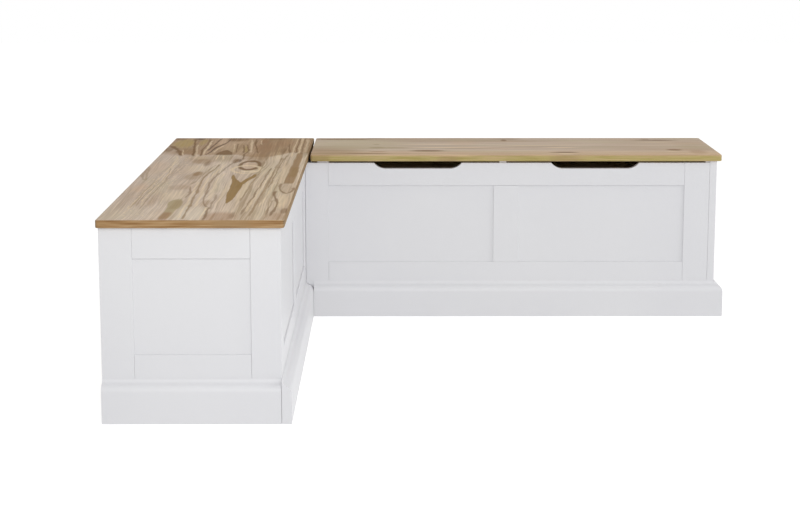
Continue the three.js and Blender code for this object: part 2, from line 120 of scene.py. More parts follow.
# Wood of both lids; it wanders and shivers by (share of the way along, waves per metre, reach in metres)
WOOD_SPECULAR = 0.06
WOOD_ROUGHNESS = 0.58
WOOD_FINE_BUMP = (0.0002, 0.3)
WOOD_RAMP_VALUES = (0.3, 0.5, 0.68)
WANDER = (0.16, 9.0, 0.05)
SHIVER = (0.2, 55.0, 0.008)
PRESS_SHARE = 0.5
PRESS_NOISE = (26.0, 2.0, 0.6)
PRESS_RANGE = (0.34, 0.66, 1.7, 0.65)
STREAK_DETAIL = 3.0
STREAK_ROUGHNESS = 0.6
STREAK_DEPTH = 3
KNOT_REACH = 1.6
KNOT_PUSH_SHARE = 0.55
CLOUD_WAVES = (13.0, 3.0)
CLOUD_ROSE_RANGE = (0.52, 0.70, 0.0, 0.40)
CLOUD_GREEN_RANGE = (0.30, 0.48, 0.40, 0.0)
FIBRE_RANGE = (0.32, 0.68, 1.06, 0.93)
STREAKED_RANGE = (0.35, 0.65, 0.75, 1.15)
RING_CORE_SHARE = 0.3
STROKE_CORE_SHARE = 0.2
STROKE_FADE = 0.018

# Ends and long edges of the lids, and the band at an edge's top that keeps only a share of the edge's tone
END_WAVES = (9.0, 9.0, 420.0)
END_NOISE = (1.0, 3.0, 0.6)
END_RAMP_VALUES = (0.32, 0.5, 0.7)
END_TONES = ((132, 96, 58), (168, 133, 92), (194, 165, 127))
LEFT_EDGE_TONES = ((120, 96, 66), (150, 124, 90), (176, 150, 116))
RIGHT_EDGE_TONES = ((166, 150, 88), (184, 168, 112), (200, 172, 132))
END_CLOUD = (9.0, 2.0, 0.5)
END_CLOUD_RANGE = (0.48, 0.64, 0.0, 0.45)
FACING_RANGE = (0.45, 0.75)
ARRIS_BAND = 0.006
LEFT_ARRIS_SHARE = 1.0
RIGHT_ARRIS_SHARE = 0.1

# Left lid; its broad, fine and late streaks are (number across a metre, number along a metre, detail)
LEFT_STREAKS = ((16.0, 0.9, 2.0), (380.0, 6.0, 2.0), (110.0, 1.3))
WALL_TO_MIDDLE = (0.09, 0.16)
MIDDLE_TO_ROOM = (0.24, 0.31)
LEFT_LATE_RANGE = (0.50, 0.62)
LEFT_LATE_STRENGTH = (0.20, 0.31, 0.26, 0.60)
LEFT_LATE_BUMP = (0.0003, 0.3)
LEFT_FINE_RANGES = ((0.42, 0.72, 0.0, 0.38), (0.30, 0.44, 0.30, 0.0))
FLECK_STREAKS = (210.0, 55.0, 1.0)
FLECK_RANGE = (0.60, 0.68, 0.0, 0.55)
FLECK_START = (0.03, 0.05)
FLECK_END = (0.10, 0.13, 1.0, 0.0)

# Places on a lid are in metres across the grain and along it, from its corner with the lowest coordinates

# Patches of the left lid, as (across, along, half across, half along, tone, strength, softness)
LEFT_PATCHES = (
    (0.034, 0.500, 0.014, 0.075, ROSE, 0.55, 0.50),
    (0.030, 0.870, 0.024, 0.120, ROSE, 0.40, 0.60),
    (0.094, 0.340, 0.012, 0.110, BROWN, 0.30, 0.60),
    (0.130, 0.370, 0.026, 0.080, CREAM, 0.40, 0.50),
    (0.125, 0.505, 0.026, 0.042, BROWN, 0.32, 0.45),
    (0.130, 0.850, 0.026, 0.070, CREAM, 0.30, 0.60),
    (0.145, 0.755, 0.013, 0.040, BROWN, 0.85, 0.40),
    (0.138, 0.695, 0.019, 0.055, BROWN, 0.45, 0.45),
    (0.133, 1.000, 0.025, 0.050, BROWN, 0.52, 0.40),
    (0.150, 0.955, 0.008, 0.050, UMBER, 0.60, 0.55),
    (0.120, 1.085, 0.024, 0.035, CREAM, 0.50, 0.50),
    (0.207, 0.090, 0.020, 0.100, PALE, 0.60, 0.40),
    (0.177, 0.110, 0.012, 0.110, PALE, 0.50, 0.50),
    (0.060, 0.080, 0.070, 0.120, PALE, 0.22, 0.60),
    (0.215, 0.245, 0.013, 0.050, BROWN, 0.40, 0.50),
    (0.264, 0.040, 0.036, 0.072, RUST, 0.58, 0.40),
    (0.170, 1.065, 0.075, 0.070, BROWN, 0.42, 0.60),
    (0.060, 1.190, 0.045, 0.060, RUST, 0.30, 0.60),
    (0.290, 0.070, 0.006, 0.045, UMBER, 0.45, 0.50),
    (0.284, 0.450, 0.008, 0.180, CREAM, 0.55, 0.50),
    (0.242, 0.470, 0.006, 0.200, CREAM, 0.40, 0.50),
    (0.386, 0.280, 0.012, 0.100, CREAM, 0.60, 0.45),
    (0.366, 0.740, 0.008, 0.180, CREAM, 0.45, 0.45),
    (0.400, 0.132, 0.009, 0.040, UMBER, 0.70, 0.40),
    (0.384, 0.050, 0.022, 0.055, RUST, 0.40, 0.50),
    (0.270, 0.805, 0.022, 0.016, CREAM, 0.80, 0.40),
    (0.268, 0.769, 0.024, 0.008, BROWN, 0.55, 0.50),
    (0.266, 0.915, 0.021, 0.065, ROSE, 0.75, 0.25),
    (0.268, 1.000, 0.010, 0.020, BLACK, 0.60, 0.60),
    (0.222, 1.010, 0.010, 0.045, UMBER, 0.70, 0.45),
    (0.232, 1.020, 0.004, 0.030, BLACK, 0.70, 0.50),
    (0.272, 1.100, 0.030, 0.080, BROWN, 0.55, 0.50),
    (0.326, 1.080, 0.012, 0.060, CREAM, 0.35, 0.50),
    (0.385, 0.480, 0.014, 0.080, BROWN, 0.30, 0.30),
    (0.040, 1.410, 0.028, 0.100, GOLD, 0.85, 0.40),
    (0.092, 1.440, 0.009, 0.075, GOLD, 0.65, 0.40),
    (0.014, 1.525, 0.020, 0.035, UMBER, 0.55, 0.50),
    (0.050, 1.225, 0.050, 0.070, BROWN, 0.55, 0.55),
    (0.200, 1.320, 0.060, 0.120, BROWN, 0.30, 0.60),
    (0.075, 1.525, 0.014, 0.030, BLACK, 0.70, 0.50),
    (0.013, 1.275, 0.012, 0.060, UMBER, 0.65, 0.45),
    (0.148, 1.450, 0.010, 0.090, ROSE, 0.50, 0.40),
    (0.178, 1.350, 0.020, 0.110, ROSE, 0.36, 0.45),
    (0.188, 1.520, 0.030, 0.055, UMBER, 0.80, 0.45),
    (0.300, 1.540, 0.042, 0.035, UMBER, 0.65, 0.45),
    (0.268, 1.465, 0.012, 0.045, RUST, 0.80, 0.45),
    (0.280, 1.300, 0.026, 0.120, RUST, 0.36, 0.45),
    (0.336, 1.240, 0.008, 0.060, UMBER, 0.60, 0.45),
    (0.330, 1.420, 0.020, 0.100, RUST, 0.40, 0.50),
)
# Rings, which are like patches but end with the ring's width as a share of its oval
LEFT_RINGS = (
    (0.2655, 0.920, 0.0255, 0.088, UMBER, 0.92, 0.30),
    (0.262, 0.840, 0.036, 0.075, CREAM, 0.70, 0.22),
)
# Strips as (tone, strength, softness, then places along the board with their edges across it)
LEFT_STRIPS = (
    (DARK, 0.95, 0.0016, (0.238, 0.2638, 0.2642), (0.260, 0.2600, 0.2670), (0.300, 0.2555, 0.2715),
     (0.360, 0.2515, 0.2735), (0.440, 0.2490, 0.2745), (0.560, 0.2470, 0.2740), (0.620, 0.2430, 0.2590),
     (0.680, 0.2375, 0.2480), (0.735, 0.2360, 0.2400)),
    (DARK, 0.95, 0.0016, (0.500, 0.2600, 0.2735), (0.580, 0.2660, 0.2770), (0.640, 0.2730, 0.2860),
     (0.700, 0.2840, 0.2970), (0.745, 0.2880, 0.2960)),
    (BROWN, 0.92, 0.0022, (0.570, 0.3730, 0.3960), (0.640, 0.3735, 0.3985), (0.800, 0.3740, 0.3985),
     (0.920, 0.3760, 0.3955), (1.100, 0.3780, 0.3945), (1.200, 0.3790, 0.3930)),
    (DARK, 0.50, 0.0030, (0.690, 0.3800, 0.3960), (0.780, 0.3790, 0.3960), (0.880, 0.3810, 0.3940)),
    (OLIVE, 0.90, 0.0025, (0.020, 0.1330, 0.1550), (0.120, 0.1340, 0.1590), (0.200, 0.1335, 0.1625),
     (0.270, 0.1300, 0.1610), (0.310, 0.1420, 0.1560)),
    (DARK, 0.28, 0.0040, (0.160, 0.1400, 0.1580), (0.230, 0.1400, 0.1620), (0.290, 0.1410, 0.1590)),
    (RUST, 0.62, 0.0030, (0.000, 0.1335, 0.1550), (0.060, 0.1335, 0.1550), (0.110, 0.1340, 0.1540)),
    (UMBER, 0.92, 0.0022, (1.140, 0.1540, 0.1990), (1.190, 0.1560, 0.1960), (1.230, 0.1660, 0.1850),
     (1.258, 0.1750, 0.1765)),
    (BROWN, 0.36, 0.0030, (1.200, 0.2640, 0.3360), (1.300, 0.2620, 0.3400), (1.420, 0.2580, 0.3440),
     (1.550, 0.2560, 0.3480)),
    (GOLD, 0.60, 0.0020, (1.200, 0.2270, 0.2360), (1.280, 0.2230, 0.2330), (1.345, 0.2200, 0.2260)),
)
# Strokes as (tone, strength, half width, places along the board and across it)
LEFT_STROKES = (
    (LATE, 0.82, 0.0050, (0.014, 0.186), (0.100, 0.1855), (0.210, 0.183), (0.280, 0.180), (0.450, 0.1765),
     (0.560, 0.171), (0.650, 0.169), (0.750, 0.172), (0.850, 0.180), (0.940, 0.184)),
    (UMBER, 0.52, 0.0048, (0.178, 0.228), (0.210, 0.216), (0.250, 0.209), (0.300, 0.205), (0.420, 0.200),
     (0.550, 0.194), (0.620, 0.192), (0.700, 0.196), (0.800, 0.203), (0.860, 0.206), (0.900, 0.211),
     (0.970, 0.218), (1.040, 0.225)),
    (UMBER, 0.47, 0.0048, (0.160, 0.234), (0.200, 0.231), (0.250, 0.229), (0.300, 0.230), (0.380, 0.226)),
    (UMBER, 0.73, 0.0056, (0.000, 0.2320), (0.100, 0.2315), (0.180, 0.2280)),
    (CREAM, 0.60, 0.0042, (0.010, 0.2250), (0.100, 0.2250), (0.185, 0.2240)),
    (UMBER, 0.56, 0.0048, (0.330, 0.160), (0.380, 0.161), (0.430, 0.160), (0.470, 0.156), (0.515, 0.152)),
    (LATE, 0.52, 0.0042, (0.560, 0.148), (0.640, 0.156), (0.720, 0.160), (0.820, 0.166), (0.930, 0.176)),
    (CREAM, 0.50, 0.0056, (0.020, 0.176), (0.200, 0.173), (0.420, 0.168), (0.600, 0.163)),
    (CREAM, 0.50, 0.0062, (0.200, 0.196), (0.400, 0.190), (0.600, 0.182), (0.780, 0.190), (0.940, 0.200)),
    (CREAM, 0.40, 0.0070, (0.300, 0.218), (0.460, 0.212), (0.620, 0.206), (0.760, 0.214)),
    (UMBER, 0.60, 0.0042, (0.080, 0.3080), (0.150, 0.3100), (0.250, 0.3130), (0.350, 0.3155),
     (0.450, 0.3170), (0.550, 0.3200), (0.700, 0.3230), (0.860, 0.3250)),
    (CREAM, 0.60, 0.0042, (0.120, 0.3170), (0.350, 0.3210), (0.550, 0.3270), (0.800, 0.3320)),
    (LATE, 0.77, 0.0039, (0.060, 0.3280), (0.300, 0.3310), (0.500, 0.3350), (0.700, 0.3360),
     (0.900, 0.3370), (1.080, 0.3420)),
    (LATE, 0.82, 0.0042, (0.500, 0.3400), (0.620, 0.3430), (0.780, 0.3440), (0.960, 0.3450),
     (1.130, 0.3520)),
    (CREAM, 0.50, 0.0042, (0.200, 0.3400), (0.400, 0.3480), (0.600, 0.3500), (0.800, 0.3560),
     (1.000, 0.3560)),
    (UMBER, 0.52, 0.0042, (0.070, 0.3620), (0.200, 0.3640), (0.290, 0.3640)),
    (UMBER, 0.77, 0.0050, (0.060, 0.3740), (0.130, 0.3760), (0.200, 0.3790), (0.240, 0.3780),
     (0.300, 0.3730), (0.350, 0.3660), (0.400, 0.3630), (0.440, 0.3640)),
    (UMBER, 0.69, 0.0050, (0.400, 0.3870), (0.430, 0.3780), (0.470, 0.3710), (0.520, 0.3680),
     (0.570, 0.3690)),
    (UMBER, 0.69, 0.0050, (0.400, 0.3880), (0.420, 0.3970), (0.450, 0.4020), (0.500, 0.4040)),
    (LATE, 0.73, 0.0042, (0.280, 0.2900), (0.400, 0.2930), (0.560, 0.2950), (0.700, 0.3020)),
    (LATE, 0.60, 0.0042, (0.720, 0.3000), (0.860, 0.3000), (1.000, 0.2980), (1.120, 0.3020)),
    (CREAM, 0.45, 0.0042, (0.100, 0.050), (0.300, 0.051), (0.560, 0.056), (0.900, 0.062), (1.100, 0.056)),
    (LATE, 0.60, 0.0031, (0.180, 0.052), (0.300, 0.053), (0.500, 0.052), (0.640, 0.060)),
    (LATE, 0.52, 0.0031, (0.200, 0.062), (0.320, 0.060), (0.480, 0.066), (0.700, 0.072), (0.860, 0.064)),
    (LATE, 0.52, 0.0031, (0.160, 0.076), (0.360, 0.074), (0.560, 0.078), (0.760, 0.076), (0.930, 0.080)),
    (CREAM, 0.50, 0.0031, (0.220, 0.069), (0.420, 0.067), (0.640, 0.072), (0.880, 0.070)),
    (UMBER, 0.39, 0.0050, (0.640, 0.022), (0.700, 0.012), (0.800, 0.006), (0.900, 0.002)),
    (LATE, 0.52, 0.0050, (0.640, 0.026), (0.740, 0.018), (0.880, 0.008)),
    (UMBER, 0.91, 0.0126, (1.130, 0.061), (1.180, 0.052), (1.240, 0.042), (1.290, 0.028), (1.350, 0.012)),
    (CREAM, 0.56, 0.0048, (1.130, 0.068), (1.190, 0.060), (1.260, 0.053)),
    (UMBER, 0.95, 0.0062, (1.120, 0.0965), (1.200, 0.0880), (1.260, 0.0830), (1.320, 0.0780),
     (1.380, 0.0730), (1.430, 0.0680), (1.510, 0.0630)),
    (CREAM, 0.47, 0.0048, (1.120, 0.103), (1.200, 0.096), (1.300, 0.088), (1.380, 0.083)),
    (UMBER, 0.86, 0.0050, (1.120, 0.1170), (1.200, 0.1110), (1.280, 0.1070), (1.340, 0.1085),
     (1.420, 0.1080), (1.510, 0.1050)),
    (CREAM, 0.61, 0.0053, (1.150, 0.1220), (1.240, 0.1160), (1.300, 0.1170), (1.400, 0.1150),
     (1.480, 0.1130)),
    (BLACK, 0.81, 0.0050, (1.240, 0.1250), (1.320, 0.1260), (1.400, 0.1310), (1.470, 0.1340),
     (1.530, 0.1370)),
    (BLACK, 0.91, 0.0059, (1.150, 0.1280), (1.200, 0.1335), (1.240, 0.1365), (1.280, 0.1385),
     (1.320, 0.1420), (1.360, 0.1490), (1.400, 0.1560), (1.450, 0.1625), (1.510, 0.1650)),
    (CREAM, 0.56, 0.0050, (1.200, 0.1440), (1.300, 0.1500), (1.360, 0.1580)),
    (CREAM, 0.47, 0.0036, (1.220, 0.1960), (1.300, 0.1920), (1.400, 0.1860)),
    (UMBER, 0.81, 0.0042, (1.200, 0.2080), (1.260, 0.2030), (1.320, 0.1990), (1.400, 0.1960)),
    (UMBER, 0.81, 0.0042, (1.190, 0.2270), (1.250, 0.2240), (1.300, 0.2200), (1.370, 0.2140)),
    (UMBER, 0.82, 0.0048, (1.040, 0.2370), (1.100, 0.2350), (1.160, 0.2320), (1.200, 0.2365),
     (1.240, 0.2370), (1.280, 0.2345), (1.320, 0.2300), (1.380, 0.2230)),
    (CREAM, 0.56, 0.0062, (1.200, 0.2440), (1.300, 0.2410), (1.400, 0.2350), (1.500, 0.2280)),
    (UMBER, 0.86, 0.0050, (1.190, 0.2680), (1.250, 0.2610), (1.300, 0.2560), (1.350, 0.2500),
     (1.420, 0.2450), (1.520, 0.2420)),
    (CREAM, 0.52, 0.0042, (1.390, 0.2640), (1.440, 0.2600), (1.490, 0.2580)),
    (UMBER, 0.81, 0.0042, (1.190, 0.3550), (1.260, 0.3500), (1.320, 0.3470), (1.400, 0.3440)),
    (CREAM, 0.56, 0.0042, (1.100, 0.3640), (1.300, 0.3620), (1.520, 0.3620)),
    (UMBER, 0.86, 0.0042, (1.190, 0.3740), (1.300, 0.3710), (1.400, 0.3700), (1.530, 0.3690)),
    (CREAM, 0.56, 0.0050, (1.180, 0.3800), (1.350, 0.3780), (1.540, 0.3760)),
    (UMBER, 0.60, 0.0036, (1.160, 0.3880), (1.350, 0.3850), (1.540, 0.3830)),
    (CREAM, 0.42, 0.0070, (1.200, 0.3970), (1.360, 0.3950), (1.500, 0.3930)),
    (UMBER, 0.60, 0.0042, (1.150, 0.4050), (1.350, 0.4050), (1.550, 0.4050)),
    (CREAM, 0.60, 0.0034, (1.040, 0.1660), (1.080, 0.1640), (1.140, 0.1620)),
    (CREAM, 0.60, 0.0034, (1.040, 0.1830), (1.080, 0.1810), (1.130, 0.1780)),
)
# The oval knot that the grain flows round, as (across, along, half across, half along)
LEFT_KNOT = (0.2655, 0.915, 0.050, 0.170)

# The left lid's darker far end, from an edge with places (across, along) that shivers more than strokes do
BAND_EDGE = (
    (0.000, 1.335), (0.030, 1.290), (0.056, 1.180), (0.100, 1.150), (0.150, 1.150), (0.205, 1.145),
    (0.240, 1.110), (0.300, 1.100), (0.330, 1.140), (0.360, 1.190), (0.408, 1.190))
BAND_SOFTNESS = 0.016
BAND_SHIVER = 6.0
BAND_TINT = (0.72, 0.61, 0.48, 1.0)

# The right lid is quieter, warmer along its front, darker along the wall and browner next to the left lid
RIGHT_TONES = ((192, 170, 148), (210, 190, 170), (224, 207, 189))
RIGHT_BACK = (185, 164, 145)
RIGHT_BACK_RANGE = (0.29, 0.39, 0.0, 0.55)
RIGHT_WARM = (217, 185, 149)
RIGHT_WARM_RANGE = (0.03, 0.13, 0.85, 0.0)
RIGHT_STREAKS = ((14.0, 0.8, 2.0), (330.0, 4.5, 2.0), (90.0, 1.1))
RIGHT_LATE_RANGE = (0.50, 0.64)
RIGHT_LATE_STRENGTH = 0.30
RIGHT_LATE_BUMP = (0.0003, 0.25)
RIGHT_FINE_RANGES = ((0.42, 0.72, 0.0, 0.32), (0.30, 0.44, 0.28, 0.0))
RIGHT_PATCHES = (
    (0.060, 0.030, 0.080, 0.110, BROWN, 0.50, 0.55),
    (0.150, 0.040, 0.070, 0.120, BROWN, 0.32, 0.60),
    (0.033, 0.155, 0.009, 0.060, UMBER, 0.70, 0.45),
    (0.075, 0.185, 0.010, 0.024, RUST, 0.60, 0.50),
    (0.170, 0.180, 0.020, 0.020, UMBER, 0.40, 0.55),
    (0.164, 0.225, 0.014, 0.050, BROWN, 0.40, 0.50),
    (0.092, 0.323, 0.018, 0.046, UMBER, 0.80, 0.40),
    (0.243, 0.179, 0.012, 0.009, UMBER, 0.45, 0.55),
    (0.330, 0.400, 0.014, 0.260, LATE, 0.48, 0.50),
    (0.174, 0.385, 0.011, 0.115, CREAM, 0.55, 0.40),
    (0.150, 0.450, 0.010, 0.080, BROWN, 0.42, 0.50),
    (0.200, 1.000, 0.160, 0.150, BROWN, 0.18, 0.60),
    (0.250, 0.130, 0.120, 0.130, GREEN, 0.40, 0.60),
    (0.385, 0.330, 0.022, 0.200, BROWN, 0.30, 0.55),
    (0.245, 0.340, 0.014, 0.080, CREAM, 0.25, 0.50),
    (0.280, 0.430, 0.060, 0.040, ROSE, 0.30, 0.50),
    (0.345, 0.550, 0.020, 0.008, UMBER, 0.65, 0.50),
    (0.370, 0.075, 0.012, 0.085, UMBER, 0.60, 0.40),
    (0.400, 0.170, 0.010, 0.030, UMBER, 0.60, 0.45),
    (0.380, 0.560, 0.018, 0.040, UMBER, 0.35, 0.55),
    (0.200, 0.640, 0.005, 0.100, UMBER, 0.42, 0.45),
    (0.223, 0.640, 0.007, 0.100, CREAM, 0.60, 0.45),
    (0.170, 0.700, 0.012, 0.045, CREAM, 0.45, 0.50),
    (0.058, 0.708, 0.013, 0.031, BLACK, 0.80, 0.60),
    (0.056, 0.680, 0.009, 0.020, UMBER, 0.50, 0.50),
    (0.024, 0.705, 0.012, 0.020, CREAM, 0.60, 0.50),
    (0.115, 1.016, 0.018, 0.020, UMBER, 0.75, 0.50),
    (0.085, 1.005, 0.009, 0.014, CREAM, 0.45, 0.50),
    (0.349, 0.992, 0.010, 0.056, BLACK, 0.72, 0.50),
    (0.372, 0.965, 0.010, 0.012, UMBER, 0.45, 0.50),
    (0.300, 0.985, 0.012, 0.050, CREAM, 0.30, 0.50),
    (0.200, 1.090, 0.090, 0.050, OLIVE, 0.30, 0.60),
    (0.065, 1.075, 0.040, 0.022, RUST, 0.35, 0.50),
    (0.390, 1.060, 0.016, 0.060, OLIVE, 0.60, 0.50),
)

# Screws of the hinges: their places on a leaf, and their heads with a cross recess
SCREW_SHARES = (0.16, 0.5, 0.84)
SCREW_FROM_EDGE = 0.0095
LEAF_THICKNESS = 0.001
HEAD_RADIUS = 0.0031
HEAD_RISE = 0.0004
HEAD_BEVEL = 0.0004
RECESS_REACH = 0.0016
RECESS_WIDTH = 0.0004
RECESS_DEPTH = 0.0007
HEAD_SIDES = 24


class Graph:
    """Builds a material's nodes with short calls; a value can be a number, a tuple or a socket"""

    def __init__(self, name):
        self.material = bpy.data.materials.new(name)
        self.material.use_nodes = True
        self.tree = self.material.node_tree
        self.tree.nodes.clear()
        self.output = self.tree.nodes.new("ShaderNodeOutputMaterial")

    def node(self, kind, inputs=None, **settings):
        made = self.tree.nodes.new(kind)
        for name, value in settings.items():
            setattr(made, name, value)
        for name, value in (inputs or {}).items():
            self.put(made.inputs[name], value)
        return made

    def put(self, socket, value):
        if isinstance(value, bpy.types.NodeSocket):
            self.tree.links.new(value, socket)
        else:
            socket.default_value = value

    def math(self, operation, *values, clamp=False):
        made = self.node("ShaderNodeMath", operation=operation, use_clamp=clamp)
        for socket, value in zip(made.inputs, values):
            self.put(socket, value)
        return made.outputs[0]

    def product(self, first, second):
        return self.math("MULTIPLY", first, second)

    def total(self, first, second):
        return self.math("ADD", first, second)

    def difference(self, first, second):
        return self.math("SUBTRACT", first, second)

    def vector(self, operation, first, second=(0, 0, 0)):
        made = self.node("ShaderNodeVectorMath", operation=operation)
        self.put(made.inputs[0], first)
        self.put(made.inputs[1], second)
        return made.outputs["Value"] if operation == "LENGTH" else made.outputs["Vector"]

    def position(self):
        """A point of the piece at rest, in metres, whatever the pose"""
        return self.node("ShaderNodeTexCoord").outputs["Object"]

    def stretched(self, axis, ratio):
        """The position drawn out along one axis, as wood grain is"""
        scale = [1.0, 1.0, 1.0]
        scale[axis] = 1 / ratio
        return self.vector("MULTIPLY", self.position(), tuple(scale))

    def facing(self, axis):
        """How far the surface at rest faces along an axis, either way"""
        normal = self.node("ShaderNodeTexCoord").outputs["Normal"]
        return self.math("ABSOLUTE", self.axes(normal)[axis])

    def axes(self, vector):
        return self.node("ShaderNodeSeparateXYZ", {"Vector": vector}).outputs

    def combine(self, x, y, z):
        return self.node("ShaderNodeCombineXYZ", {"X": x, "Y": y, "Z": z}).outputs[0]

    def noise(self, vector, scale=1.0, detail=2.0, roughness=0.5, distortion=0.0):
        """Noise whose scale is its number of waves for each unit of the vector"""
        made = self.node("ShaderNodeTexNoise", {
            "Vector": vector, "Scale": scale, "Detail": detail, "Roughness": roughness,
            "Distortion": distortion})
        return made.outputs[0]

    def ramp(self, value, rows):
        """A colour from rows of (value, tone)"""
        made = self.node("ShaderNodeValToRGB", {"Fac": value})
        elements = made.color_ramp.elements
        while len(elements) < len(rows):
            elements.new(HALF)
        for element, (place, tone) in zip(elements, rows):
            element.position = place
            element.color = srgb(*tone)
        return made.outputs["Color"]

    def mix(self, share, first, second, blend="MIX"):
        made = self.node("ShaderNodeMix", data_type="RGBA", blend_type=blend)
        self.put(made.inputs["Factor"], share)
        self.put(made.inputs["A"], first)
        self.put(made.inputs["B"], second)
        return made.outputs["Result"]

    def tint(self, share, colour, tone):
        """Lays a share of a tone over a colour"""
        return self.mix(share, colour, srgb(*tone))

    def scaled(self, value, low, high, new_low=0.0, new_high=1.0, smooth=False):
        """Takes what lies from low to high to what lies from new_low to new_high, and stops there"""
        made = self.node("ShaderNodeMapRange", {
            "Value": value, "From Min": low, "From Max": high, "To Min": new_low, "To Max": new_high})
        made.interpolation_type = "SMOOTHSTEP" if smooth else "LINEAR"
        return made.outputs[0]

    def bump(self, height, distance, strength, normal=None):
        """Relief whose full height is the distance, in metres"""
        inputs = {"Height": height, "Distance": distance, "Strength": strength}
        if normal is not None:
            inputs["Normal"] = normal
        return self.node("ShaderNodeBump", inputs).outputs[0]

    def finish(self, colour, roughness, normal=None, **settings):
        shader = self.node("ShaderNodeBsdfPrincipled", {"Base Color": colour, "Roughness": roughness})
        if normal is not None:
            self.put(shader.inputs["Normal"], normal)
        for name, value in settings.items():
            shader.inputs[name].default_value = value
        self.tree.links.new(shader.outputs[0], self.output.inputs["Surface"])
        return self.material


def srgb(red, green, blue):
    """The linear colour that Blender takes for a tone as it looks on screen"""
    def linear(level):
        share = level / SRGB_FULL
        if share <= SRGB_KNEE:
            return share / SRGB_SLOPE
        return ((share + SRGB_OFFSET) / (1 + SRGB_OFFSET)) ** SRGB_POWER
    return (linear(red), linear(green), linear(blue), 1.0)


def paint_material(name, axis):
    """Satin off-white paint over wood whose grain runs along the axis"""
    graph = Graph(name)
    grain = graph.noise(graph.stretched(axis, PAINT_STRETCH), *PAINT_GRAIN)
    roller = graph.noise(graph.position(), *PAINT_ROLLER)
    cloud = graph.noise(graph.position(), *PAINT_CLOUD)
    first, second = PAINT_TONES
    colour = graph.tint(graph.scaled(cloud, *PAINT_CLOUD_RANGE), srgb(*first), second)
    normal = graph.bump(grain, *PAINT_GRAIN_BUMP, graph.bump(roller, *PAINT_ROLLER_BUMP))
    return graph.finish(colour, PAINT_ROUGHNESS, normal)


def plain_wood_material(name, axis, stretch, noise, ramp, roughness):
    """Unpainted wood whose grain runs along the axis"""
    graph = Graph(name)
    grain = graph.noise(graph.stretched(axis, stretch), *noise)
    return graph.finish(graph.ramp(grain, ramp), roughness, graph.bump(grain, *PLAIN_BUMP))


def zinc_material():
    graph = Graph("zinc_plate")
    blotch = graph.noise(graph.position(), *ZINC_BLOTCH)
    colour = graph.ramp(blotch, ZINC_RAMP)
    return graph.finish(colour, graph.scaled(blotch, *ZINC_ROUGHNESS_RANGE), Metallic=1.0)


